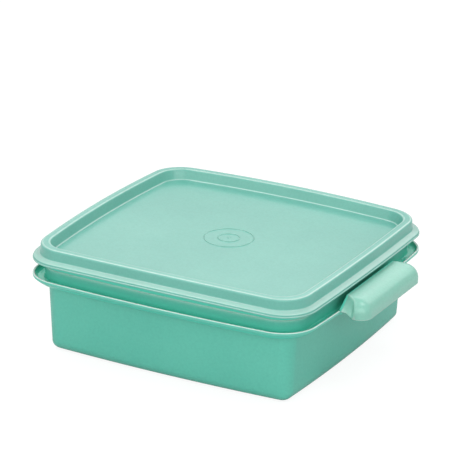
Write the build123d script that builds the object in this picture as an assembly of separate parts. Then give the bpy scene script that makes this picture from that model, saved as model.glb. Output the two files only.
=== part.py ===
"""Square food keeper: a drafted tub with a hooded side handle, and a press-on lid that lifts off.

Both pieces are thin injection mouldings. Every horizontal section of them is the same kind of
outline, a rectangle with slightly bowed sides and round corners, so each piece is built as a stack
of such outlines joined level by level, hollowed the same way. Millimetres, +Z up, origin on the
table under the middle of the tub. The handle points along +X, the front faces -Y.
"""
from build123d import *
import os
from math import atan2, cos, degrees, hypot, radians, sin, sqrt, tan

os.makedirs("parts", exist_ok=True)

# Plan size at the lip of the tub, which is also the edge of the lid
LENGTH = 220.0
WIDTH = 211.4
BOW_RADIUS = 1350.0
LIP_CORNER = 26.0
CORNER_SHARE = 0.70

# Tub body
WALL = 2.0
FLOOR = 2.2
DRAFT_ANGLE = 3.1
WALL_INSET = 12.0
WALL_CORNER = 11.4
BASE_ROLL = 7.4

# Gutter flange round the tub and its lip
LIP_HEIGHT = 56.4
LIP_FACE = 2.0
LIP_THICKNESS = 1.3
LIP_ROLL = 0.6
GUTTER_DEPTH = 4.0
GUTTER_ROLL = 3.2
GUTTER_LEAN = 1.0
FLANGE_THICKNESS = 1.9
FLANGE_ROOT_DROP = 7.4

# Upright rim that the lid presses on to
RIM_RISE = 20.0
RIM_THICKNESS = 1.7
RIM_INSET = 7.5
RIM_LEAN = 0.8
BEAD_STEP = 0.5
BEAD_HEIGHT = 5.6

# Lid
LID_WALL = 1.7
LID_ROOF = 1.9
RIM_CLEARANCE = 0.3
LID_EDGE_FACE = 2.4
LID_FLANGE_WIDTH = 4.7
LID_FLANGE_FALL = 1.15
RIDGE_HEIGHT = 7.25
RIDGE_DRAFT = 0.4
RIDGE_TOP_WIDTH = 6.1
RECESS_DEPTH = 7.3
RECESS_RUN = 2.7
CREST_ROLL = 1.5
LID_ROOT_ROLL = 0.9
LID_EDGE_ROLL = 0.5

# Plain ring mark moulded into the middle of the lid
RING_RADII = (17.4, 7.6)
RING_WIDTH = 1.0
RING_RISE = 0.35
GATE_RADIUS = 1.2

# Hooded handle on the +X side
HANDLE_LENGTH = 89.2
HANDLE_REACH = 18.3
HANDLE_LID_GAP = 2.6
HANDLE_DROP = 5.0
HANDLE_TOP_FALL = 1.6
HANDLE_WALL = 1.9
HANDLE_ROLL = 9.0
HANDLE_FOOT_INSET = 3.4
HANDLE_CREST_INSET = 0.6
HANDLE_ARCH_END = 7.2
HANDLE_ARCH_START = 1.0

# Scoop at each end of the handle, a ramp from the lip up to the hood that steepens away from the tub.
# Each station gives its reach out from the lip, how far its foot lies beyond the end of the handle,
# how far its foot drops below the lip, and the angle of the ramp.
SCOOP_START = -8.0
SCOOP_STATIONS = ((0.3, 1.7, 0.0, 38.0), (3.2, 0.2, 0.6, 47.5), (6.5, -0.2, 3.8, 66.0),
                  (7.8, 0.0, 5.4, 73.0), (8.6, 0.6, 6.4, 90.0))

# Heights that follow from the sizes above
RIM_TOP = LIP_HEIGHT + RIM_RISE
LID_TOP = RIM_TOP + LID_ROOF
LID_ROOT = LID_TOP - RIDGE_HEIGHT
LID_EDGE_TOP = LID_ROOT - LID_FLANGE_FALL
LID_BOTTOM = LID_EDGE_TOP - LID_EDGE_FACE
HANDLE_TOP = LID_BOTTOM - HANDLE_LID_GAP
PANEL_TOP = LID_TOP - RECESS_DEPTH
GUTTER_FLOOR = LIP_HEIGHT - GUTTER_DEPTH
FLANGE_BOTTOM = GUTTER_FLOOR - FLANGE_THICKNESS
FLANGE_ROOT = LIP_HEIGHT - FLANGE_ROOT_DROP
DRAFT = tan(radians(DRAFT_ANGLE))
CUT = 1.0
NEAR = 0.01


def corner_at(inset):
    """Corner radius of an outline drawn in from the lip: most of the step comes off the radius."""
    return LIP_CORNER - CORNER_SHARE * inset


def outline(inset, z, corner=None):
    """Face at height z: four bowed sides and four tangent corner arcs, drawn in from the lip."""
    r = corner_at(inset) if corner is None else corner
    hx = LENGTH / 2 - inset
    hy = WIDTH / 2 - inset
    # A corner arc touches both side arcs from inside, so its centre is BOW_RADIUS - r from
    # the centres of both: the crossing of two equal circles.
    ax = BOW_RADIUS - hx
    ay = BOW_RADIUS - hy
    span = hypot(ax, ay)
    reach = sqrt((BOW_RADIUS - r) ** 2 - (span / 2) ** 2)
    kx = -ax / 2 + reach * ay / span
    ky = -ay / 2 + reach * ax / span
    grow = BOW_RADIUS / (BOW_RADIUS - r)
    side_end = (-ax + (kx + ax) * grow, ky * grow)
    end_side = (kx * grow, -ay + (ky + ay) * grow)
    diagonal = hypot(side_end[0] + end_side[0] - 2 * kx, side_end[1] + end_side[1] - 2 * ky)
    middle = (kx + r * (side_end[0] + end_side[0] - 2 * kx) / diagonal,
              ky + r * (side_end[1] + end_side[1] - 2 * ky) / diagonal)
    edges = []
    for sx, sy in ((1, 1), (-1, 1), (-1, -1), (1, -1)):
        a, b = (sx * side_end[0], sy * side_end[1], z), (sx * end_side[0], sy * end_side[1], z)
        m = (sx * middle[0], sy * middle[1], z)
        edges.append(ThreePointArc(a, m, b) if sx * sy > 0 else ThreePointArc(b, m, a))
    for s in (1, -1):
        edges.append(ThreePointArc((s * side_end[0], -side_end[1], z), (s * hx, 0, z),
                                   (s * side_end[0], side_end[1], z)))
        edges.append(ThreePointArc((-end_side[0], s * end_side[1], z), (0, s * hy, z),
                                   (end_side[0], s * end_side[1], z)))
    return Face(Wire.combine(edges)[0])


def stack(*levels):
    """Solid through outlines given as (inset, z) or (inset, z, corner), from the bottom up."""
    faces = [outline(*level) for level in levels]
    solid = loft([faces[0], faces[1]], ruled=True)
    for lower, upper in zip(faces[1:], faces[2:]):
        solid += loft([lower, upper], ruled=True)
    return solid


def drafted(level, top, angle):
    """Prism from one outline up to a height, its sides leaning in by an angle all round."""
    return extrude(outline(*level), amount=top - level[1], dir=(0, 0, 1), taper=angle)


def lean(run, rise):
    """Angle in degrees of a side that moves in by a run over a rise."""
    return degrees(atan2(run, rise))


def rounded(solid, z, radius):
    """Roll the edge loop of a solid that lies at height z."""
    return fillet(solid.edges().filter_by_position(Axis.Z, z - NEAR, z + NEAR), radius)


def body_level(z, thickness=0.0):
    """Outline of the drafted tub wall at height z, drawn in by a wall thickness."""
    inset = WALL_INSET + (FLANGE_ROOT - z) * DRAFT
    return (inset + thickness, z, WALL_CORNER - (FLANGE_ROOT - z) * DRAFT - thickness)


def rim_inset(z):
    """Outer face of the upright rim: it leans out a little towards its top."""
    return RIM_INSET + RIM_LEAN * (RIM_TOP - z) / RIM_RISE


def tub_skin():
    """Outside of the tub: drafted body, flange with its lip, upright rim."""
    body = rounded(drafted(body_level(0), FLANGE_ROOT, -DRAFT_ANGLE), 0, BASE_ROLL)
    shoulder = corner_at(LIP_THICKNESS + GUTTER_ROLL)
    flange = stack(body_level(FLANGE_ROOT),
                   (LIP_THICKNESS + GUTTER_ROLL, FLANGE_BOTTOM, shoulder),
                   (LIP_THICKNESS, LIP_HEIGHT - LIP_FACE - LIP_THICKNESS),
                   (0, LIP_HEIGHT - LIP_FACE),
                   (0, LIP_HEIGHT))
    flange = rounded(flange, LIP_HEIGHT, LIP_ROLL)
    gutter_top = LIP_HEIGHT + CUT
    gutter = drafted((LIP_THICKNESS + GUTTER_LEAN, GUTTER_FLOOR), gutter_top,
                     -lean(GUTTER_LEAN, gutter_top - GUTTER_FLOOR))
    gutter = rounded(gutter, GUTTER_FLOOR, GUTTER_ROLL)
    bead_z = LIP_HEIGHT + BEAD_HEIGHT
    rim = stack((rim_inset(GUTTER_FLOOR) - BEAD_STEP, GUTTER_FLOOR - CUT), (rim_inset(bead_z) - BEAD_STEP, bead_z))
    rim += stack((rim_inset(bead_z), bead_z - CUT), (rim_inset(RIM_TOP), RIM_TOP))
    return body + (flange - gutter) + rim


def tub_hollow():
    """Inside of the tub: the drafted body with a rolled floor edge, then the wider rim."""
    body = rounded(drafted(body_level(FLOOR, WALL), GUTTER_FLOOR + CUT, -DRAFT_ANGLE), FLOOR, BASE_ROLL - WALL)
    rim = stack((rim_inset(GUTTER_FLOOR) + RIM_THICKNESS, GUTTER_FLOOR),
                (rim_inset(RIM_TOP) + RIM_THICKNESS, RIM_TOP + CUT))
    return body + rim


def hood(inward):
    """Block of the handle with its outer edges rolled, drawn inward on every face."""
    lip_x = LENGTH / 2
    top = HANDLE_TOP - inward
    bottom = LIP_HEIGHT - HANDLE_DROP - (HANDLE_REACH if inward else 0.0)
    foot_x = lip_x - HANDLE_FOOT_INSET + inward
    outer_x = lip_x + HANDLE_REACH - inward
    section = Polyline((foot_x, bottom), (foot_x, GUTTER_FLOOR), (lip_x - HANDLE_CREST_INSET + inward, top),
                       (outer_x, top - HANDLE_TOP_FALL), (outer_x, bottom), (lip_x + HANDLE_ARCH_END, bottom),
                       (lip_x + HANDLE_ARCH_START, bottom + HANDLE_DROP - LIP_FACE),
                       (foot_x + LIP_FACE, bottom), close=True)
    half = HANDLE_LENGTH / 2 - inward
    block = extrude(make_face(Plane.XZ * section), amount=half, both=True)
    outer = block.edges().filter_by(Axis.Z).group_by(Axis.X)[-1]
    along = block.edges().filter_by(Axis.Y).group_by(Axis.Z)[-2]
    ends = block.edges().filter_by(lambda e: abs(e.center().Z - top) < HANDLE_TOP_FALL
                                   and abs(abs(e.center().Y) - half) < NEAR)
    return fillet(outer + along + ends, HANDLE_ROLL - inward)


def ramp(side, inward, reach, beyond, drop, angle):
    """Section of the scoop at one reach from the lip: everything above a slanted line."""
    slant = radians(angle)
    x = LENGTH / 2 + reach
    foot_y = HANDLE_LENGTH / 2 + beyond - inward * sin(slant)
    foot_z = LIP_HEIGHT - drop - inward * cos(slant)
    head_z = HANDLE_TOP + CUT
    head_y = foot_y - (head_z - foot_z) / tan(slant)
    clear_y = HANDLE_LENGTH / 2 + HANDLE_ROLL
    corners = ((foot_y, foot_z), (head_y, head_z), (clear_y, head_z), (clear_y, foot_z))
    return make_face(Polyline(*((x, side * y, z) for y, z in corners), close=True))


def scoop(side, inward):
    """Cut that runs the end of the hood down into the lip and fades out along it."""
    sections = [ramp(side, inward, SCOOP_START, *SCOOP_STATIONS[0][1:])]
    sections += [ramp(side, inward, *station) for station in SCOOP_STATIONS]
    cut = loft(sections[:2], ruled=True)
    for near, far in zip(sections[1:], sections[2:]):
        cut += loft([near, far], ruled=True)
    return cut


def handle_skin():
    """Outside of the handle, with both ends scooped down to the lip."""
    return hood(0.0) - scoop(1, 0.0) - scoop(-1, 0.0)


def handle_hollow():
    """Finger space under the handle, one wall thickness inside its skin."""
    return hood(HANDLE_WALL) - scoop(1, HANDLE_WALL) - scoop(-1, HANDLE_WALL)


def make_tub():
    """Whole tub in one moulding."""
    tub = tub_skin() - tub_hollow()
    tub += handle_skin()
    return tub - handle_hollow()


def lid_skin():
    """Outside of the lid: a sloping flange, the ridge over the rim and the recessed panel."""
    flange = stack((0, LID_BOTTOM), (0, LID_EDGE_TOP), (LID_FLANGE_WIDTH, LID_ROOT))
    ridge = drafted((LID_FLANGE_WIDTH, LID_ROOT), LID_TOP, lean(RIDGE_DRAFT, RIDGE_HEIGHT))
    recess_side = LID_FLANGE_WIDTH + RIDGE_DRAFT + RIDGE_TOP_WIDTH + RECESS_RUN
    recess = drafted((recess_side, PANEL_TOP), LID_TOP + CUT, -lean(RECESS_RUN, RECESS_DEPTH))
    skin = rounded(flange + ridge, LID_ROOT, LID_ROOT_ROLL)
    skin = rounded(skin, LID_EDGE_TOP, LID_EDGE_ROLL)
    skin = rounded(skin - recess, LID_TOP, CREST_ROLL)
    return rounded(skin, PANEL_TOP, LID_ROOT_ROLL)


def lid_hollow():
    """Underside of the lid: under the flange, and the groove that the rim stands in."""
    groove_outer = rim_inset(RIM_TOP) - RIM_CLEARANCE
    under_root = LID_ROOT - LID_WALL
    under = stack((LID_WALL, LID_BOTTOM - CUT), (LID_WALL, LID_EDGE_TOP - LID_WALL),
                  (LID_FLANGE_WIDTH + LID_WALL, under_root), (groove_outer, RIM_TOP))
    inner = LID_FLANGE_WIDTH + RIDGE_DRAFT + RIDGE_TOP_WIDTH
    core = stack((inner + RECESS_RUN - LID_WALL, PANEL_TOP - LID_WALL),
                 (rim_inset(RIM_TOP) + RIM_THICKNESS + RIM_CLEARANCE, RIM_TOP),
                 (rim_inset(RIM_TOP) + RIM_THICKNESS + RIM_CLEARANCE, RIM_TOP + CUT))
    return under - core


def ring_mark():
    """Two plain low rings and the moulding gate in the middle of the lid, rooted in its panel."""
    depth = RING_RISE + LID_ROOF / 2
    middle = Location((0, 0, PANEL_TOP + RING_RISE - depth / 2))
    mark = middle * Cylinder(GATE_RADIUS, depth)
    for radius in RING_RADII:
        mark += middle * (Cylinder(radius + RING_WIDTH / 2, depth) - Cylinder(radius - RING_WIDTH / 2, depth))
    return mark


def make_lid():
    """Whole lid in one moulding."""
    return lid_skin() - lid_hollow() + ring_mark()


tub = make_tub()
lid = make_lid()
for name, shape in (("tub", tub), ("lid", lid)):
    export_step(shape, f"parts/{name}.step")
    box = shape.bounding_box()
    print(name, "solids", len(shape.solids()), "volume cm3", round(shape.volume / 1000, 1),
          "box", [round(v, 2) for v in (*box.min, *box.max)])
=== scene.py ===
# %% [markdown]
# # A square food keeper in mint green plastic
#
# The object is a drafted square tub with a hooded handle on one side, and a lid that presses on to
# the tub's upright rim. Both are thin injection mouldings, so everything the eye reads is a rolled
# edge, a shallow slope or a satin highlight. The measured model is loaded first and never changed.
# Three new skins take the place of its two pieces: the lid, the tub and the hood of the handle.

# %% Load the measured model
import math

import bmesh
import bpy
import numpy as np
from mathutils import Matrix, Vector


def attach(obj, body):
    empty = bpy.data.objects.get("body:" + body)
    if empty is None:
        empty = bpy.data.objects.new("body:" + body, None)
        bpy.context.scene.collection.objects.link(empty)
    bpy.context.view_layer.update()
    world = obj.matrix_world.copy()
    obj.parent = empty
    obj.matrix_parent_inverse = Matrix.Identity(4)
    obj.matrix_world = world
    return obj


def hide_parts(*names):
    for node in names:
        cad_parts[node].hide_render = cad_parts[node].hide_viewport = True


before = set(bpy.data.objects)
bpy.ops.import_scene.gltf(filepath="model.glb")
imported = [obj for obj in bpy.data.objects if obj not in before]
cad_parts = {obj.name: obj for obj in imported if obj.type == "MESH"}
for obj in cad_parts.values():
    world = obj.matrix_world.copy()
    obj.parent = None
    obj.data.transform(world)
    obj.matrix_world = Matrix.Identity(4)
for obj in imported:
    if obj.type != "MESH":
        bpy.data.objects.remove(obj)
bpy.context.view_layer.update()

# %% [markdown]
# ## The camera
#
# The photograph was taken from far away with a long lens, a little above the lid and to the right
# of the front. A camera could be aimed with a constraint, but its place, its three angles and its
# lens were solved from the outlines of the object, so the matrix is written straight from them.

# %% Camera
LENS_MM, SENSOR_MM = 240.03, 36.0
CAMERA_PLACE = Vector((0.90219, -1.7221, 0.8255))
AZIMUTH, ELEVATION, ROLL = (math.radians(angle) for angle in (27.7339, 20.9532, 1.2465))

away = Vector((math.sin(AZIMUTH) * math.cos(ELEVATION), -math.cos(AZIMUTH) * math.cos(ELEVATION),
               math.sin(ELEVATION)))
level = Vector((math.cos(AZIMUTH), math.sin(AZIMUTH), 0.0))
right = level * math.cos(ROLL) + away.cross(level) * math.sin(ROLL)
up = away.cross(right)

camera_data = bpy.data.cameras.new("camera")
camera_data.lens, camera_data.sensor_width, camera_data.clip_end = LENS_MM, SENSOR_MM, 20.0
camera = bpy.data.objects.new("camera", camera_data)
bpy.context.scene.collection.objects.link(camera)
camera.matrix_world = Matrix.Translation(CAMERA_PLACE) @ Matrix((right, up, away)).transposed().to_4x4()
bpy.context.scene.camera = camera
print("camera", round(CAMERA_PLACE.length, 3), "m from the middle of the floor under the tub")

# %% [markdown]
# ## The plan outline
#
# Seen from above, every level of both pieces is the same figure: a rectangle whose four sides bow
# outwards a little, joined by tangent corner arcs. A bezier circle or a bevelled box would come
# near it, but the bow and the corner must change smoothly from level to level, so the outline is a
# function of two numbers, how far it lies in from the lip and how round its corner is.

# %% Outline of one level
HALF_LENGTH, HALF_WIDTH, BOW_RADIUS = 110.0, 105.7, 1350.0
SIDE_STEPS, CORNER_STEPS = 26, 22


def corner_at(inset):
    """Corner radius at an inset from the lip: 26 mm less seven tenths of the inset."""
    return 26.0 - 0.70 * inset


def outline(inset, corner):
    """Rings (levels, stations, 2), counter-clockwise. Each side is an arc of the bow radius, and
    each corner arc touches both sides from inside, so its centre is where two circles of radius
    (bow - corner) round the centres of the side arcs cross. One quadrant is mirrored to four."""
    inset, corner = np.atleast_1d(inset)[:, None], np.atleast_1d(corner)[:, None]
    ax, ay = BOW_RADIUS - HALF_LENGTH + inset, BOW_RADIUS - HALF_WIDTH + inset
    span = np.hypot(ax, ay)
    reach = np.sqrt((BOW_RADIUS - corner) ** 2 - span ** 2 / 4)
    kx, ky = -ax / 2 + reach * ay / span, -ay / 2 + reach * ax / span
    first, last = np.arctan2(ky, kx + ax), np.arctan2(ky + ay, kx)
    side, turn = (np.linspace(0, 1, n, endpoint=False) for n in (SIDE_STEPS, CORNER_STEPS))
    a, b, c = first * side, first + (last - first) * turn, last + (np.pi / 2 - last) * np.append(side, 1)
    x = np.hstack((BOW_RADIUS * np.cos(a) - ax, kx + corner * np.cos(b), BOW_RADIUS * np.cos(c)))
    y = np.hstack((BOW_RADIUS * np.sin(a), ky + corner * np.sin(b), BOW_RADIUS * np.sin(c) - ay))
    ahead, back = slice(None, -1), slice(None, 0, -1)
    xs = np.hstack((x[:, ahead], -x[:, back], -x[:, ahead], x[:, back]))
    ys = np.hstack((y[:, ahead], y[:, back], -y[:, ahead], -y[:, back]))
    return np.stack((xs, ys), axis=-1)


lip = outline(0.0, corner_at(0.0))[0]
print("outline of", len(lip), "stations,", lip.max(axis=0).round(2), "mm from the middle")

# %% [markdown]
# ## Rolled profiles
#
# A moulding has no sharp edges: each corner of its section is an arc of 0.15 to 7.4 millimetres. A
# bevel modifier could round them, but there are seventeen different radii here. So the section is
# a list of corners with their radii, and one function replaces each corner by its arc and puts a
# row close to each end of it, so that the flat walls beside it stay flat when they are shaded
# smooth.

# %% Roll the corners of a section
SUPPORT, ROOM_SHARE = 0.3, 0.4


def rolled(corners, steps=7):
    """Rows (inset, height, ring corner) along a section. A corner with a roll r and half angle h
    between its sides becomes an arc that starts r / tan(h) before the corner, turned by spherical
    interpolation round its centre; a support row stands 0.3 of a roll outside each end, or 0.4 of
    the way from there to the neighbouring corner where that is nearer."""
    points = np.array(corners, float)
    rows = [points[:1, :3]]
    for before, here, after in zip(points[:-2, :3], points[1:-1], points[2:, :3]):
        roll, here = here[3], here[:3]
        if roll == 0:
            rows.append(here[None])
            continue
        to_before, to_after = before - here, after - here
        to_before, to_after = (v / np.hypot(*v[:2]) for v in (to_before, to_after))
        half = np.arccos(np.clip(to_before[:2] @ to_after[:2], -1, 1)) / 2
        start, end = (here + v * roll / np.tan(half) for v in (to_before, to_after))
        middle = to_before[:2] + to_after[:2]
        centre = here[:2] + middle / np.hypot(*middle) * roll / np.sin(half)
        t, turn = np.linspace(0, 1, steps + 1)[:, None], np.pi - 2 * half
        swing = np.sin((1 - t) * turn) * (start[:2] - centre) + np.sin(t * turn) * (end[:2] - centre)
        arc = np.hstack((centre + swing / np.sin(turn), (1 - t) * start[2] + t * end[2]))
        room = (np.hypot(*(point - side)[:2]) for point, side in ((before, start), (after, end)))
        near, far = (min(SUPPORT * roll, ROOM_SHARE * length) for length in room)
        rows += [start[None] + to_before * near, arc, end[None] + to_after * far]
    rows.append(points[-1:, :3])
    return np.vstack(rows)


def rings(rows):
    """Surface rows as an array (rows, stations, 3): the outline of each row set at its height."""
    plan = outline(rows[:, 0], rows[:, 2])
    return np.concatenate((plan, np.broadcast_to(rows[:, None, 1:2], plan.shape[:2] + (1,))), axis=-1)


def shrunk(ring, shares):
    """Copies of one ring scaled towards the vertical axis, for the flat middle of a floor."""
    return ring[None] * np.stack((shares, shares, np.ones_like(shares)), axis=-1)[:, None]


print("a right-angled corner rolled to 2 mm gives",
      len(rolled([(0, 0, 9, 0), (10, 0, 9, 2), (10, 10, 9, 0)])), "rows")

# %% [markdown]
# ## From rows to a mesh
#
# The rows of a piece run from the middle of its underside, out and up the outside, and over the top
# to the middle again. Quads join neighbouring rows all the way round, and a fan of triangles closes
# each end at a single point, so the lid and the tub are each one watertight skin whose faces point
# outwards.

# %% Build a closed skin
MM = 0.001
print("points are given in millimetres and stored in metres, times", MM)


def finished(name, points, faces, pale):
    """Smooth mesh object from points in millimetres, with one value of painted light for each point."""
    mesh = bpy.data.meshes.new(name)
    mesh.from_pydata((points * MM).tolist(), [], faces)
    mesh.shade_smooth()
    mesh.attributes.new("painted_edge_light", "FLOAT", "POINT").data.foreach_set("value", pale.astype(np.float32))
    piece = bpy.data.objects.new(name, mesh)
    bpy.context.scene.collection.objects.link(piece)
    print(name, len(mesh.vertices), "vertices", len(mesh.polygons), "faces")
    return piece


def closed_skin(name, rows, pale):
    """Mesh object from rows (rows, stations, 3) in millimetres and a painted-light value for each row.
    Quad (v, n) joins stations n and n + 1 of rows v and v + 1; both ends close on their own mean point."""
    count, stations = rows.shape[:2]
    v, n = np.meshgrid(np.arange(count - 1), np.arange(stations), indexing="ij")
    ahead = (n + 1) % stations
    quads = np.stack((v * stations + n, v * stations + ahead, (v + 1) * stations + ahead,
                      (v + 1) * stations + n), axis=-1).reshape(-1, 4)
    first, last = count * stations, count * stations + 1
    n, ahead = np.arange(stations), (np.arange(stations) + 1) % stations
    start_fan = np.stack((ahead, n, np.full_like(n, first)), axis=-1)
    top = (count - 1) * stations
    end_fan = np.stack((top + n, top + ahead, np.full_like(n, last)), axis=-1)
    points = np.vstack((rows.reshape(-1, 3), rows[0].mean(axis=0), rows[-1].mean(axis=0)))
    faces = quads.tolist() + start_fan.tolist() + end_fan.tolist()
    return finished(name, points, faces, np.append(np.repeat(pale, stations), (0.0, 0.0)))


# %% [markdown]
# ## Painted highlights and painted light
#
# Thin lips, rolled edges and the bead look paler than the walls. Here that is painted on: it is a
# painted highlight, and it also stands in for light that gets in at one side of a thin edge and out
# at the other. The shaded gap under the lid is painted a clearer, lighter green, which is painted
# light in that shade. Scattering under the surface could be left to do this, but painting is quick
# and easy to steer: each row of a section gets a value of painted light from its distance to the
# lines along which the edges run, and the material reads it. Above zero it is the share of the
# highlight mint, and below zero of the lighter gap green. What is painted stays the same in any
# other light.

# %% Painted highlight and gap light of a section
GAP_LIGHT_SHARE = 0.8


def pale_near(rows, lines):
    """Paleness of each row (inset, height): for lines (x0, z0, x1, z1, width, strength) it is the
    strength times 1 - (distance / width)^2 to the nearest point of the line, the largest counting."""
    pale = np.zeros(len(rows))
    for x0, z0, x1, z1, width, strength in lines:
        start, run = np.array((x0, z0)), np.array((x1 - x0, z1 - z0))
        share = np.clip((rows[:, :2] - start) @ run / max(run @ run, 1e-9), 0, 1)
        distance = np.hypot(*(rows[:, :2] - start - share[:, None] * run).T)
        pale = np.maximum(pale, strength * np.clip(1 - (distance / width) ** 2, 0, 1))
    return pale


print("paleness 0.3 mm from a line 0.5 mm wide:",
      round(float(pale_near(np.array([(0.3, 0.0)]), [(0.0, 0.0, 0.0, 1.0, 0.5, 1.0)])[0]), 2))

# %% [markdown]
# ## The crown
#
# The real lid isn't flat. Its middle and the middles of its sides stand a little over a millimetre
# higher than its corners, which is why its edges look gently arched in the photograph. A lattice
# could bend the finished pieces, but a formula for the lift of any point lets the lid and the top
# of the rim take the same crown, so the lid still sits on the rim. The tub's lip and all below it
# stay flat. The amount came out of the same fit as the camera.

# %% Crown of the lid and rim
CROWN, CROWN_DROP = 1.93, 1.35


def crown(points):
    """Lift of a point: 1.93 (1 - (x y / a b)^2) - 1.35 mm, with a and b the half sizes of the lip."""
    share = points[..., 0] * points[..., 1] / (HALF_LENGTH * HALF_WIDTH)
    return CROWN * (1 - share ** 2) - CROWN_DROP


lip_corner = lip[SIDE_STEPS + CORNER_STEPS // 2]
print("crown", round(float(crown(np.zeros(2))), 2), "mm in the middle,",
      round(float(crown(lip_corner)), 2), "mm at a corner of the lid")

# %% [markdown]
# ## The lid
#
# The lid is one section carried round the outline: the thin panel, the groove that grips the rim,
# the edge with its fine lower lip, the sloping flange, the ridge, and the slope down to the panel.
# In the middle of the panel the outline melts into a circle, because the two raised rings of the
# moulding mark and its gate are round. A displacement would smear so fine a ring, so its rows are
# placed exactly where the ring rises and falls.

# %% Section of the lid
RIM_TOP, LID_TOP, PANEL_TOP, PANEL_UNDER = 76.4, 78.3, 71.0, 69.3


def row(inset, height, roll=0.0, corner=None):
    """One corner of a section: inset, height, ring corner radius and roll, in millimetres."""
    return (inset, height, corner_at(inset) if corner is None else corner, roll)


lid_section = rolled([
    row(16.0, PANEL_UNDER),
    row(12.2, PANEL_UNDER, 0.7),
    row(9.5, RIM_TOP, 0.25),
    row(7.2, RIM_TOP, 0.25),
    row(6.4, 69.35, 0.4),
    row(1.7, 68.2, 0.3),
    row(1.7, 67.5, 0.15),
    row(0.0, 67.5, 0.3),
    row(0.0, 68.5, 0.3),
    row(0.4, 68.75, 0.25),
    row(0.4, 69.9, 1.1),
    row(4.7, 71.05, 1.2),
    row(5.1, LID_TOP, 1.5),
    row(11.2, LID_TOP, 1.5),
    row(13.9, PANEL_TOP, 1.3),
    row(17.0, PANEL_TOP)])
print("lid section", len(lid_section), "rows")

# %% Moulding mark in the middle of the panel
MARK_EDGE = 24.0
RING_RADII, RING_WIDTH, RING_RISE = (17.4, 7.6), 1.0, 0.5
GATE_RADIUS, GATE_RISE = 1.3, 0.4
# MARK_HIGHLIGHT paints a highlight on the raised rings of the mark, in step with their height.
MARK_HIGHLIGHT, RING_REACH = 0.2, 0.62


def mark_height(radius):
    """Height of the mark over the panel: a raised cosine across each ring, and a low dome for the
    gate that falls as 1 - (r / gate)^2 from its top."""
    lift = np.zeros_like(radius)
    for middle in RING_RADII:
        across = np.clip(np.abs(radius - middle) / (RING_WIDTH / 2), 0, 1)
        lift += RING_RISE * (0.5 + 0.5 * np.cos(np.pi * across))
    return lift + GATE_RISE * np.clip(1 - (radius / GATE_RADIUS) ** 2, 0, 1)


across_ring = np.linspace(-RING_REACH, RING_REACH, 11)
mark_radii = np.concatenate([[MARK_EDGE, 20.5], RING_RADII[0] + across_ring, [15.0, 12.0, 9.5],
                             RING_RADII[1] + across_ring, [5.0, 3.0], np.linspace(1.5, 0.15, 7)])
mark_radii = np.sort(mark_radii)[::-1]
print("mark of", len(mark_radii), "rings")

# %% Rows of the panel
edge_ring = rings(lid_section[-1:])[0]
heading = edge_ring[:, :2] / np.hypot(edge_ring[:, 0], edge_ring[:, 1])[:, None]


def panel_rows(ring, height, shares):
    """Rows between the edge of the panel and a circle: (1 - s) outline + s circle, s from 0 to 1."""
    plan = (1 - shares)[:, None, None] * ring[None, :, :2] + shares[:, None, None] * MARK_EDGE * heading[None]
    return np.concatenate((plan, np.full(plan.shape[:2] + (1,), height)), axis=-1)


shares = np.linspace(0, 1, 13)[1:-1]
under_ring = rings(lid_section[:1])[0]
middle_rows = shrunk(panel_rows(under_ring, PANEL_UNDER, np.ones(1))[0], np.linspace(0.05, 1, 4))
underside = np.concatenate((middle_rows, panel_rows(under_ring, PANEL_UNDER, shares[::-1])))
panel = panel_rows(edge_ring, PANEL_TOP, shares)
mark = np.concatenate((heading[None] * mark_radii[:, None, None],
                       np.broadcast_to((PANEL_TOP + mark_height(mark_radii))[:, None, None],
                                       (len(mark_radii), len(heading), 1))), axis=-1)
print("panel of", len(panel), "rows and a mark of", len(mark))

# %% Whole lid
# The lines below are where painted highlights run round the lid; UNDER_FLANGE_LIGHT marks the underside of
# the flange, painted a lighter green as painted light in its shade.
FLANGE_LINE = (0.85, 69.95, 4.2, 70.9, 0.55, 0.42)
RIDGE_OUTER_LINE, RIDGE_INNER_LINE = (6.1, 78.25, 6.3, 78.3, 0.7, 0.5), (10.5, 78.25, 10.8, 78.2, 0.6, 0.35)
PANEL_LINE, LOWER_LIP_LINE = (13.7, 71.25, 14.0, 71.05, 0.5, 0.4), (0.0, 68.2, 0.1, 68.6, 0.3, 0.3)
UNDER_FLANGE_LIGHT = [(1.7, 67.6, 1.7, 68.3, 0.5, 1.0), (2.2, 68.35, 6.2, 69.3, 0.5, 1.0)]

lid_rows = np.concatenate((underside, rings(lid_section), panel, mark))
lid_rows[..., 2] += crown(lid_rows)
lid_edges = [FLANGE_LINE, RIDGE_OUTER_LINE, LOWER_LIP_LINE, RIDGE_INNER_LINE, PANEL_LINE]
lid_pale = pale_near(lid_section, lid_edges)
lid_pale -= GAP_LIGHT_SHARE * pale_near(lid_section, UNDER_FLANGE_LIGHT)
lid_pale = np.concatenate((np.zeros(len(underside)), lid_pale, np.zeros(len(panel)),
                           MARK_HIGHLIGHT * mark_height(mark_radii) / RING_RISE))
lid_shell = closed_skin("lid_shell", lid_rows, lid_pale)
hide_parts("lid")
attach(lid_shell, "lid")

# %% [markdown]
# ## The tub
#
# The tub is one section too: a floor with a wide roll, walls with about three degrees of draft, the
# gutter that runs round outside the rim with its rolled lip, and the rim with a fine bead low on
# its outside. Going down inside, the wall ends in a rolled floor. A box with bevelled edges would
# need a new bevel for every level; here the corner radius shrinks along the roll, so the corners
# of the floor come close to balls.

# %% Section of the tub
LIP_HEIGHT, GUTTER_FLOOR, FLANGE_BOTTOM, FLANGE_ROOT, FLOOR_TOP = 56.4, 52.4, 50.5, 49.0, 2.2
BEAD_HEIGHT, BEAD_STEP = 62.0, 0.5
RIM_INSET, RIM_LEAN, RIM_RISE = 7.5, 0.8, 20.0
FLOOR_INSET, FLOOR_CORNER = 22.6, 0.8


def rim_inset(height):
    """The rim leans out 0.8 mm over its 20 mm of height and ends 7.5 mm in from the lip."""
    return RIM_INSET + RIM_LEAN * (RIM_TOP - height) / RIM_RISE


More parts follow.
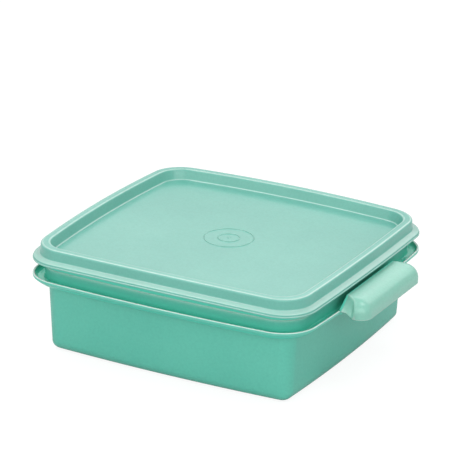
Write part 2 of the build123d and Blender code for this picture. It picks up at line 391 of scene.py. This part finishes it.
tub_section = rolled([
    row(FLOOR_INSET, 0.0, corner=FLOOR_CORNER),
    row(14.654, 0.0, 7.4, 8.746),
    row(12.0, FLANGE_ROOT, 1.2, 11.4),
    row(4.5, FLANGE_BOTTOM, 2.0),
    row(1.3, 53.1, 0.5),
    row(0.0, 54.4, 0.5),
    row(0.0, LIP_HEIGHT, 0.75),
    row(1.3, LIP_HEIGHT, 0.5),
    row(2.3, GUTTER_FLOOR, 2.6),
    row(rim_inset(GUTTER_FLOOR) - BEAD_STEP, GUTTER_FLOOR, 1.0),
    row(rim_inset(BEAD_HEIGHT) - BEAD_STEP, BEAD_HEIGHT - 0.15, 0.3),
    row(rim_inset(BEAD_HEIGHT), BEAD_HEIGHT + 0.3, 0.3),
    row(RIM_INSET, RIM_TOP, 0.4),
    row(9.2, RIM_TOP, 0.4),
    row(10.16, GUTTER_FLOOR, 0.8),
    row(13.8, GUTTER_FLOOR, 1.0, 9.6),
    row(16.535, FLOOR_TOP, 5.4, 6.865),
    row(FLOOR_INSET, FLOOR_TOP, corner=FLOOR_CORNER)])
print("tub section", len(tub_section), "rows")

# %% Whole tub
# Painted highlights run along the lip, the bead and the top of the rim; the gutter and the rim under the lid
# are painted a lighter green, as painted light in their shade.
LIP_LINE, BEAD_LINE = (0.35, 56.35, 1.0, 56.4, 0.7, 1.0), (7.6, 61.9, 7.9, 62.2, 0.35, 0.45)
RIM_LINE, SLIGHT = (7.9, 76.4, 8.8, 76.4, 0.5, 0.4), 0.02
GUTTER_AND_RIM_LIGHT = [(3.0, 52.6, 7.6, 52.6, 3.0, 1.0), (8.3, 54.0, 7.6, 75.0, 1.2, 1.0)]

tub_body = rings(tub_section)
floor_shares = np.linspace(0.06, 0.94, 6)
under_floor, inner_floor = shrunk(tub_body[0], floor_shares), shrunk(tub_body[-1], floor_shares[::-1])
tub_rows = np.concatenate((under_floor, tub_body, inner_floor))
above_lip = np.clip((tub_rows[..., 2] - LIP_HEIGHT) / (RIM_TOP - LIP_HEIGHT), 0, 1)
tub_rows[..., 2] += crown(tub_rows) * above_lip
tub_pale = pale_near(tub_section, [LIP_LINE, BEAD_LINE, RIM_LINE])
tub_pale = np.where(tub_pale > SLIGHT, tub_pale, -GAP_LIGHT_SHARE * pale_near(tub_section, GUTTER_AND_RIM_LIGHT))
still = np.zeros(len(floor_shares))
tub_shell = closed_skin("tub_shell", tub_rows, np.concatenate((still, tub_pale, still)))
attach(tub_shell, "tub")

# %% [markdown]
# ## The hood of the handle
#
# The handle is a hood that grows out of the gutter on the right, with a roll of about ten
# millimetres along its outer edge and one of nine at its ends. At each end a scoop runs from the lip
# up into its top, and that ramp steepens as it leaves the tub. Cutting a scoop out with a boolean
# leaves ragged shading, so the hood is a sheet of sections along the handle, and the scoop is a
# height that the sheet may not pass: the lower of the two, blended smoothly where they meet.

# %% Sections of the hood
HOOD_HALF, HOOD_ROLL, HOOD_TOP, HOOD_FALL = 44.6, 9.0, 64.9, 1.3
ROLL_ACROSS, ROLL_DOWN = 10.5, 9.6
FOOT_X, FOOT_Z, CREST_X, OUTER_X, HOOD_BOTTOM = 106.9, 52.9, 109.4, 128.3, 51.4
CREST_BEFORE, CREST_AFTER, CREST_DEPTH, LEAST_ROLL = 0.35, 0.2, 0.5, 0.003
TOP_STEPS, ROLL_STEPS, FACE_STEPS = 36, 24, 8


def hood_sections(inset):
    """Sections (stations, points, 2) of x and z: up the inner face, across the top that falls
    outwards, round a quarter of an ellipse 10.5 mm wide and 9.6 mm deep, and down the outer face.
    The inset draws the top and the outer face in, and the ellipse shrinks with it nearly to a
    point, which rounds the corners at the ends of the hood."""
    inset = inset[:, None]
    share = np.maximum(1 - inset / HOOD_ROLL, LEAST_ROLL)
    top, outer, across, down = HOOD_TOP - inset, OUTER_X - inset, ROLL_ACROSS * share, ROLL_DOWN * share
    slope = HOOD_FALL / (OUTER_X - CREST_X)
    crest_start, crest_low = CREST_X - CREST_BEFORE, top - CREST_DEPTH
    t = np.linspace(0, 1, 7)[None, :-1]
    foot_x = FOOT_X + (crest_start - FOOT_X) * t + 0 * top
    foot = np.stack((foot_x, FOOT_Z + (crest_low - FOOT_Z) * t), axis=-1)
    t = np.linspace(0, 1, 5)[None] * np.pi / 2
    crest_x = crest_start + (CREST_BEFORE + CREST_AFTER) * (1 - np.cos(t)) + 0 * top
    crest = np.stack((crest_x, crest_low + CREST_DEPTH * np.sin(t)), axis=-1)
    first = np.arctan(slope * across / down)
    start_x = outer - across + across * np.sin(first)
    centre_z = top - (start_x - CREST_X) * slope - down * np.cos(first)
    t = np.linspace(0, 1, TOP_STEPS)[None, 1:-1]
    flat_x = CREST_X + CREST_AFTER + (start_x - CREST_X - CREST_AFTER) * t
    flat = np.stack((flat_x, top - (flat_x - CREST_X) * slope), axis=-1)
    angle = first + (np.pi / 2 - first) * np.linspace(0, 1, ROLL_STEPS)[None]
    arc = np.stack((outer - across + across * np.sin(angle), centre_z + down * np.cos(angle)), axis=-1)
    t = np.linspace(0, 1, FACE_STEPS)[None, 1:]
    face = np.stack((outer + 0 * t, centre_z + (HOOD_BOTTOM - centre_z) * t), axis=-1)
    return np.concatenate((foot, crest, flat, arc, face), axis=1)


END_START = HOOD_HALF - HOOD_ROLL
along_end = np.sin(np.linspace(0, np.pi / 2, 26))
middle_half = np.append(np.linspace(0, 26, 8), np.linspace(28, 35.2, 17))
stations_half = np.append(middle_half, END_START + HOOD_ROLL * along_end)
inset_half = np.append(np.zeros_like(middle_half), HOOD_ROLL * (1 - np.sqrt(1 - along_end ** 2)))
hood = hood_sections(inset_half)
print("half a hood of", hood.shape[0], "sections with", hood.shape[1], "points each")

# %% [markdown]
# A scoop is given at six distances from the lip: how far along the handle its foot lies, how far the
# sheet reaches there, how high the foot is, and where the ramp meets the top. The first three follow
# the photograph. The others lift the ramp out over the hood, so that its border closes smoothly.
# Between them the values run straight.

# %% Scoops at both ends
SCOOP_X = (110.3, 113.2, 116.5, 118.2, 120.5, 123.0)
SCOOP_FOOT_Y = (46.3, 45.0, 44.6, 45.2, 47.5, 52.0)
SCOOP_END_Y = (46.3, 45.0, 44.6, 44.6, 44.6, 44.6)
SCOOP_FOOT_Z = (56.4, 55.4, 52.8, 51.8, 51.0, 51.0)
SCOOP_HEAD_Y = (35.3, 37.0, 39.5, 42.3, 46.5, 51.5)
SCOOP_BLEND, SCOOP_BOW, LEAST_CLIMB, WELL_ABOVE = 0.5, 1.25, 0.25, 8.0
BORDER_WIDTH, BORDER_FOOT = 1.3, 54.0
SCOOP_FLOOR_X, SCOOP_FLOOR_Z = (110.3, 113.2, 116.5, 117.8), (56.0, 55.2, 52.2, HOOD_BOTTOM)


def scooped(sections, along):
    """Points (stations, points, 3) of the hood under its scoop. The last stations are drawn to the
    foot of the scoop; the ramp rises from foot to head as t to the power 1.25, and the height is
    the smooth minimum (a + b)/2 - sqrt((a - b)^2/4 + k^2) + k of hood and ramp. A fourth value is 1
    along the border of the scoop, where the two are equally high."""
    x, z = sections[..., 0], sections[..., 1]
    stations = (SCOOP_FOOT_Y, SCOOP_END_Y, SCOOP_FOOT_Z, SCOOP_HEAD_Y)
    foot_y, end_y, foot_z, head_y = (np.interp(x, SCOOP_X, values) for values in stations)
    warp = np.clip((along[:, None] - END_START) / HOOD_ROLL, 0, 1) ** 2
    y = along[:, None] + (end_y - HOOD_HALF) * warp
    head_z = HOOD_TOP - HOOD_FALL * (x - CREST_X) / (OUTER_X - CREST_X)
    climb = (foot_y - y) / np.maximum(foot_y - head_y, LEAST_CLIMB)
    ramp = foot_z + (head_z - foot_z) * np.sign(climb) * np.abs(climb) ** SCOOP_BOW
    under = (z + ramp) / 2 - np.sqrt((z - ramp) ** 2 / 4 + SCOOP_BLEND ** 2) + SCOOP_BLEND
    height = np.where(ramp > z + WELL_ABOVE, z, np.minimum(z, under))
    floor_z = np.interp(x, SCOOP_FLOOR_X, SCOOP_FLOOR_Z)
    height = np.where(z > floor_z, np.maximum(height, np.minimum(z, floor_z)), z)
    border = np.clip(1 - np.abs(ramp - z) / BORDER_WIDTH, 0, 1) * (z > BORDER_FOOT)
    return np.stack((x, y, height, border), axis=-1)


half_hood = scooped(hood, stations_half)
hem = half_hood[-1:] * np.array((1.0, 1.0, 1.0, 0.0))
hem[..., 2] = np.minimum(hem[..., 2], np.interp(hem[..., 0], SCOOP_FLOOR_X, SCOOP_FLOOR_Z))
half_hood = np.concatenate((half_hood, hem))
other_half = half_hood[:0:-1] * np.array((1.0, -1.0, 1.0, 1.0))
hood_points, scoop_border = np.split(np.concatenate((other_half, half_hood)), [3], axis=-1)
print("hood", hood_points.shape[:2], "x to", round(float(hood_points[..., 0].max()), 1), "mm")

# %% Sheet of the hood
MERGE_WITHIN, SLIVER = 0.06, 0.02


def open_sheet(name, points, pale):
    """Mesh object from a grid (stations, points, 3) in millimetres; a quad's sides run first along
    the section and then along the handle, so its face looks up and out."""
    count, width = points.shape[:2]
    s, k = np.meshgrid(np.arange(count - 1), np.arange(width - 1), indexing="ij")
    quads = np.stack((s * width + k, s * width + k + 1, (s + 1) * width + k + 1, (s + 1) * width + k),
                     axis=-1).reshape(-1, 4)
    piece = finished(name, points.reshape(-1, 3), quads.tolist(), pale.ravel())
    work = bmesh.new()
    work.from_mesh(piece.data)
    bmesh.ops.remove_doubles(work, verts=work.verts, dist=MERGE_WITHIN * MM)
    bmesh.ops.dissolve_degenerate(work, dist=SLIVER * MM, edges=work.edges)
    work.to_mesh(piece.data)
    work.free()
    print(name, "after merging the points where rolls shrink away:", len(piece.data.vertices), "vertices")
    return piece


# The hem of the hood and the border of each scoop get a painted highlight; the inner face beside the gap
# under the lid is painted a lighter green, as painted light in that shade.
HEM_DEPTH, HEM_HIGHLIGHT, BORDER_HIGHLIGHT = 0.5, 0.6, 0.45
GAP_LIGHT_UP_TO, GAP_LIGHT_FADE = 110.6, 0.9
hem_pale = HEM_HIGHLIGHT * np.clip((HOOD_BOTTOM + HEM_DEPTH - hood_points[..., 2]) / HEM_DEPTH, 0, 1)
beside_gap_light = np.clip((GAP_LIGHT_UP_TO - hood_points[..., 0]) / GAP_LIGHT_FADE, 0, 1)
hood_pale = np.maximum(hem_pale, BORDER_HIGHLIGHT * scoop_border[..., 0]) - GAP_LIGHT_SHARE * beside_gap_light
handle_hood = open_sheet("handle_hood", hood_points, hood_pale)

# %% [markdown]
# The hood is taken to be hollow, one wall thick. A second sheet could be offset by hand, but a
# Solidify modifier closes the edges as well. Its wall is thinned towards the two ends, because a full
# wall there gave spikes and a dark crease at the foot of the scoops. A vertex group takes one weight
# in each call, so the points that share a weight are added together.

# %% Wall of the hood
HOOD_WALL = 1.9
THIN_FROM, THIN_OVER, LEAST_WALL = 45.5, 3.0, 0.05
places = np.empty(3 * len(handle_hood.data.vertices), np.float32)
handle_hood.data.vertices.foreach_get("co", places)
from_middle = np.abs(places.reshape(-1, 3)[:, 1].astype(float)) / MM
wall_shares = np.clip((THIN_FROM - from_middle) / THIN_OVER, LEAST_WALL, 1.0)
full = handle_hood.vertex_groups.new(name="wall")
for share in np.unique(wall_shares):
    full.add(np.flatnonzero(wall_shares == share).tolist(), float(share), "REPLACE")
wall = handle_hood.modifiers.new("wall", "SOLIDIFY")
wall.thickness, wall.offset, wall.use_rim, wall.vertex_group = HOOD_WALL * MM, -1.0, True, full.name
print("wall of", HOOD_WALL, "mm, thinned to", LEAST_WALL, "of that at the ends")
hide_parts("tub")
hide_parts("tub")
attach(handle_hood, "tub")

# %% [markdown]
# ## The plastic
#
# The keeper is one plain satin plastic in mint green. Its colour is even but not dead: the pigment
# clouds slightly, a very fine grain breaks up the highlight, and wide faces are not quite flat. Faint
# hairlines show only in the gloss. A painted picture would need an unwrapping and would be soft in a
# close view, so all of it is noise on Object coordinates, which stays with the piece when the lid is
# lifted. The lid, the tub and the hood have colours of their own here, a little apart, because that
# came nearer to the photograph than one colour and the lamps did. The hood is painted lighter and the
# lid a little darker than the tub, so these are painted light and painted shade on one plastic.

# %% Helpers for materials
def node(tree, kind, place, **inputs):
    """One shader node with some of its inputs set by name."""
    made = tree.nodes.new(kind)
    made.location = place
    for key, value in inputs.items():
        made.inputs[key.replace("_", " ")].default_value = value
    return made


def ramp_between(tree, place, low, high, start, end):
    """Colour ramp from low to high between two positions."""
    made = tree.nodes.new("ShaderNodeValToRGB")
    made.location = place
    made.color_ramp.elements[0].position, made.color_ramp.elements[0].color = start, low
    made.color_ramp.elements[1].position, made.color_ramp.elements[1].color = end, high
    return made


def grey(value):
    """Opaque grey of one value."""
    return (value, value, value, 1.0)


def mixed(tree, place, blend="MIX"):
    """Colour mix from A to B; its Factor is held between 0 and 1."""
    made = tree.nodes.new("ShaderNodeMix")
    made.data_type, made.blend_type, made.location = "RGBA", blend, place
    return made


print("helpers ready; a plain white is written", grey(1.0))

# %% Colour of the plastic
# HIGHLIGHT_MINT is the colour of the painted highlights on edges, GAP_LIGHT_GREEN the painted light in the
# shaded gap under the lid.
HIGHLIGHT_MINT, GAP_LIGHT_GREEN = (0.60, 0.76, 0.70, 1.0), (0.090, 0.66, 0.50, 1.0)


def plastic_colour(tree, place, deep, pale):
    """Socket of the colour: deep to pale by broad clouds, times 0.94 to 1 by fine mottle, then mixed
    to the highlight mint by the painted edge light (a painted highlight) and to the lighter gap green
    by that value times -1 (painted light in the shaded gap)."""
    clouds = node(tree, "ShaderNodeTexNoise", (-1000, 300), Scale=16.0, Detail=4.0, Roughness=0.55)
    colour = ramp_between(tree, (-700, 300), deep, pale, 0.30, 0.70)
    mottle = node(tree, "ShaderNodeTexNoise", (-1000, 60), Scale=620.0, Detail=2.0, Roughness=0.6)
    speck = ramp_between(tree, (-700, 60), grey(0.94), grey(1.0), 0.30, 0.62)
    tint = mixed(tree, (-380, 220), "MULTIPLY")
    tint.inputs["Factor"].default_value = 1.0
    for texture, ramp, side in ((clouds, colour, "A"), (mottle, speck, "B")):
        tree.links.new(place.outputs["Object"], texture.inputs["Vector"])
        tree.links.new(texture.outputs["Fac"], ramp.inputs["Fac"])
        tree.links.new(ramp.outputs["Color"], tint.inputs[side])

    edge = tree.nodes.new("ShaderNodeAttribute")
    edge.attribute_name, edge.location = "painted_edge_light", (-700, 480)
    below_zero = node(tree, "ShaderNodeMath", (-380, 560))
    below_zero.operation = "MULTIPLY"
    below_zero.inputs[1].default_value = -1.0
    edge_highlight_mix, gap_light_mix = mixed(tree, (-180, 300)), mixed(tree, (-20, 400))
    edge_highlight_mix.inputs["B"].default_value, gap_light_mix.inputs["B"].default_value = HIGHLIGHT_MINT, GAP_LIGHT_GREEN
    tree.links.new(edge.outputs["Fac"], edge_highlight_mix.inputs["Factor"])
    tree.links.new(edge.outputs["Fac"], below_zero.inputs[0])
    tree.links.new(below_zero.outputs["Value"], gap_light_mix.inputs["Factor"])
    tree.links.new(tint.outputs["Result"], edge_highlight_mix.inputs["A"])
    tree.links.new(edge_highlight_mix.outputs["Result"], gap_light_mix.inputs["A"])
    return gap_light_mix.outputs["Result"]


print("pale mint", HIGHLIGHT_MINT[:3], "and clear green", GAP_LIGHT_GREEN[:3])

# %% Gloss and relief of the plastic
HAIR_TURN, HAIR_SCALE, HAIR_DULLNESS = 0.6, (9.0, 620.0, 620.0), 0.02
GRAIN_DEPTH, WAVE_DEPTH = 0.000008, 0.00008


def hairline_roughness(tree, place, rough):
    """Socket of the roughness: its plain value, and 0.02 more along noise stretched to hairlines."""
    stretch = tree.nodes.new("ShaderNodeMapping")
    stretch.location = (-1200, -260)
    stretch.inputs["Rotation"].default_value = (0.0, 0.0, HAIR_TURN)
    stretch.inputs["Scale"].default_value = HAIR_SCALE
    hair = node(tree, "ShaderNodeTexNoise", (-1000, -260), Scale=1.0, Detail=2.0, Roughness=0.5)
    lines = ramp_between(tree, (-700, -260), grey(rough), grey(rough + HAIR_DULLNESS), 0.72, 0.84)
    tree.links.new(place.outputs["Object"], stretch.inputs["Vector"])
    tree.links.new(stretch.outputs["Vector"], hair.inputs["Vector"])
    tree.links.new(hair.outputs["Fac"], lines.inputs["Fac"])
    return lines.outputs["Color"]


def moulded_relief(tree, place):
    """Socket of the normal: broad waves 0.08 mm deep, and on them a grain 0.008 mm deep."""
    grain = node(tree, "ShaderNodeTexNoise", (-1000, -520), Scale=1150.0, Detail=2.0, Roughness=0.6)
    waves = node(tree, "ShaderNodeTexNoise", (-1000, -780), Scale=22.0, Detail=1.0, Roughness=0.4)
    fine = node(tree, "ShaderNodeBump", (-380, -520), Strength=1.0, Distance=GRAIN_DEPTH)
    broad = node(tree, "ShaderNodeBump", (-680, -780), Strength=1.0, Distance=WAVE_DEPTH)
    for texture, bump in ((grain, fine), (waves, broad)):
        tree.links.new(place.outputs["Object"], texture.inputs["Vector"])
        tree.links.new(texture.outputs["Fac"], bump.inputs["Height"])
    tree.links.new(broad.outputs["Normal"], fine.inputs["Normal"])
    return fine.outputs["Normal"]


print("hairlines dull the gloss by", HAIR_DULLNESS)

# %% Plastic material
PLASTIC_IOR, SCATTER_WEIGHT, SCATTER_RADIUS, SCATTER_SCALE = 1.54, 0.12, (0.35, 1.0, 0.75), 0.002


def satin_plastic(name, deep, pale, rough, gloss):
    """Satin moulded plastic between a deep and a pale colour, with grain, waviness and hairlines."""
    material = bpy.data.materials.new(name)
    material.use_nodes = True
    tree = material.node_tree
    shader = tree.nodes["Principled BSDF"]
    settings = {"IOR": PLASTIC_IOR, "Specular IOR Level": gloss, "Subsurface Weight": SCATTER_WEIGHT,
                "Subsurface Radius": SCATTER_RADIUS, "Subsurface Scale": SCATTER_SCALE}
    for socket, value in settings.items():
        shader.inputs[socket].default_value = value
    place = node(tree, "ShaderNodeTexCoord", (-1400, 0))
    tree.links.new(plastic_colour(tree, place, deep, pale), shader.inputs["Base Color"])
    tree.links.new(hairline_roughness(tree, place, rough), shader.inputs["Roughness"])
    tree.links.new(moulded_relief(tree, place), shader.inputs["Normal"])
    return material


# The hood's mint is painted lighter and the lid's a little darker than the tub's: painted light and painted
# shade on one plastic.
LID_MINT_PAINTED_SHADE = ((0.120, 0.392, 0.324, 1.0), (0.138, 0.424, 0.350, 1.0))
TUB_MINT = ((0.102, 0.455, 0.356, 1.0), (0.116, 0.487, 0.380, 1.0))
HOOD_MINT_PAINTED_LIGHT = ((0.208, 0.486, 0.392, 1.0), (0.224, 0.514, 0.414, 1.0))
finishes = (
    (lid_shell, "lid_satin_mint_painted_shade", LID_MINT_PAINTED_SHADE, 0.25, 0.5),
    (tub_shell, "tub_satin_mint", TUB_MINT, 0.22, 0.3),
    (handle_hood, "hood_satin_mint_painted_light", HOOD_MINT_PAINTED_LIGHT, 0.24, 0.5))
for piece, name, mint, rough, gloss in finishes:
    piece.data.materials.append(satin_plastic(name, *mint, rough, gloss))
print("materials", [finish[1] for finish in finishes])

# %% [markdown]
# ## Floor, world and lamps
#
# The photograph is cut out on white. The camera therefore sees a floor that is mostly plain white,
# with a quarter left to its own pale shade so that the object's shadow stays, and a white world.
# Glossy and clear rays get a small share of the same white. A picture of a studio could light the
# scene, but area lamps can each be put where their reflection is wanted: a strip high on the left
# whitens the slopes of the lid, a wide one behind gives the panel its sheen, two broad ones in front
# and at the front right light the walls, and a small one high on the right reaches the top of the
# handle.

# %% Floor
FLOOR_HALF, FLOOR_SHADE, FLOOR_GLOW = 4.0, 0.62, 1.18
FLOOR_TO_CAMERA, FLOOR_TO_MIRRORS = 0.75, 0.1


def quad(name, half, height):
    """Square sheet round the origin at one height."""
    mesh = bpy.data.meshes.new(name)
    corners = [(x * half, y * half, height) for x, y in ((-1, -1), (1, -1), (1, 1), (-1, 1))]
    mesh.from_pydata(corners, [], [(0, 1, 2, 3)])
    sheet = bpy.data.objects.new(name, mesh)
    bpy.context.scene.collection.objects.link(sheet)
    return sheet


def white_share(tree, camera_share, mirror_share):
    """Share of plain white in a ray: one share for the camera's rays, one for glossy and clear rays."""
    path = tree.nodes.new("ShaderNodeLightPath")
    mirrored, part, seen = (tree.nodes.new("ShaderNodeMath") for _ in range(3))
    mirrored.operation, part.operation, seen.operation = "MAXIMUM", "MULTIPLY", "MULTIPLY_ADD"
    part.inputs[1].default_value, seen.inputs[1].default_value = mirror_share, camera_share
    tree.links.new(path.outputs["Is Glossy Ray"], mirrored.inputs[0])
    tree.links.new(path.outputs["Is Transmission Ray"], mirrored.inputs[1])
    tree.links.new(mirrored.outputs["Value"], part.inputs[0])
    tree.links.new(path.outputs["Is Camera Ray"], seen.inputs[0])
    tree.links.new(part.outputs["Value"], seen.inputs[2])
    return seen.outputs["Value"]


def studio_white(name, shade, camera_share, mirror_share):
    """Material between a diffuse shade, which takes the shadow, and plain white, by white_share."""
    material = bpy.data.materials.new(name)
    material.use_nodes = True
    tree = material.node_tree
    tree.nodes.clear()
    out, mix = tree.nodes.new("ShaderNodeOutputMaterial"), tree.nodes.new("ShaderNodeMixShader")
    plain, white = tree.nodes.new("ShaderNodeBsdfDiffuse"), tree.nodes.new("ShaderNodeEmission")
    plain.inputs["Color"].default_value = shade
    white.inputs["Strength"].default_value = FLOOR_GLOW
    tree.links.new(white_share(tree, camera_share, mirror_share), mix.inputs["Fac"])
    tree.links.new(plain.outputs["BSDF"], mix.inputs[1])
    tree.links.new(white.outputs["Emission"], mix.inputs[2])
    tree.links.new(mix.outputs["Shader"], out.inputs["Surface"])
    return material


studio_floor = quad("floor", FLOOR_HALF, 0.0)
floor_white = studio_white("studio_white", grey(FLOOR_SHADE), FLOOR_TO_CAMERA, FLOOR_TO_MIRRORS)
studio_floor.data.materials.append(floor_white)
print("floor", studio_floor.name, 2 * FLOOR_HALF, "m square")

# %% World
SKY_LIGHT, SKY_TO_CAMERA, SKY_TO_MIRRORS = 0.58, 1.0, 0.3
world = bpy.data.worlds.new("studio")
world.use_nodes = True
sky = world.node_tree.nodes["Background"]
sky.inputs["Color"].default_value = grey(1.0)
brightness = world.node_tree.nodes.new("ShaderNodeMapRange")
brightness.inputs["To Min"].default_value, brightness.inputs["To Max"].default_value = SKY_LIGHT, 1.0
sky_share = white_share(world.node_tree, SKY_TO_CAMERA, SKY_TO_MIRRORS)
world.node_tree.links.new(sky_share, brightness.inputs["Value"])
world.node_tree.links.new(brightness.outputs["Result"], sky.inputs["Strength"])
bpy.context.scene.world = world
print("world lights at", SKY_LIGHT)

# %% Soft boxes, by azimuth from +Y towards +X, elevation, width, height and watts
BOX_DISTANCE = 2.6
SOFT_BOXES = {
    "left_high": (-103, 63, 2.1, 0.64, 20.5),
    "back_wide": (-3, 35, 3.0, 1.05, 14.5),
    "front": (-168, 18, 2.2, 1.6, 14.5),
    "right": (138, 24, 2.4, 1.6, 25.5),
    "right_high": (80, 70, 1.2, 1.2, 17.0),
}
for name, (azimuth, elevation, width, height, watts) in SOFT_BOXES.items():
    azimuth, elevation = math.radians(azimuth), math.radians(elevation)
    lamp = bpy.data.lights.new(name, "AREA")
    lamp.shape, lamp.size, lamp.size_y, lamp.energy = "RECTANGLE", width, height, watts
    box = bpy.data.objects.new(name, lamp)
    bpy.context.scene.collection.objects.link(box)
    box.location = BOX_DISTANCE * Vector((math.sin(azimuth) * math.cos(elevation),
                                          math.cos(azimuth) * math.cos(elevation), math.sin(elevation)))
    box.rotation_euler = (-box.location).to_track_quat("-Z", "Y").to_euler()
bpy.context.scene.view_settings.view_transform = "Standard"
print(len(SOFT_BOXES), "soft boxes,", sum(box[-1] for box in SOFT_BOXES.values()), "W in all")
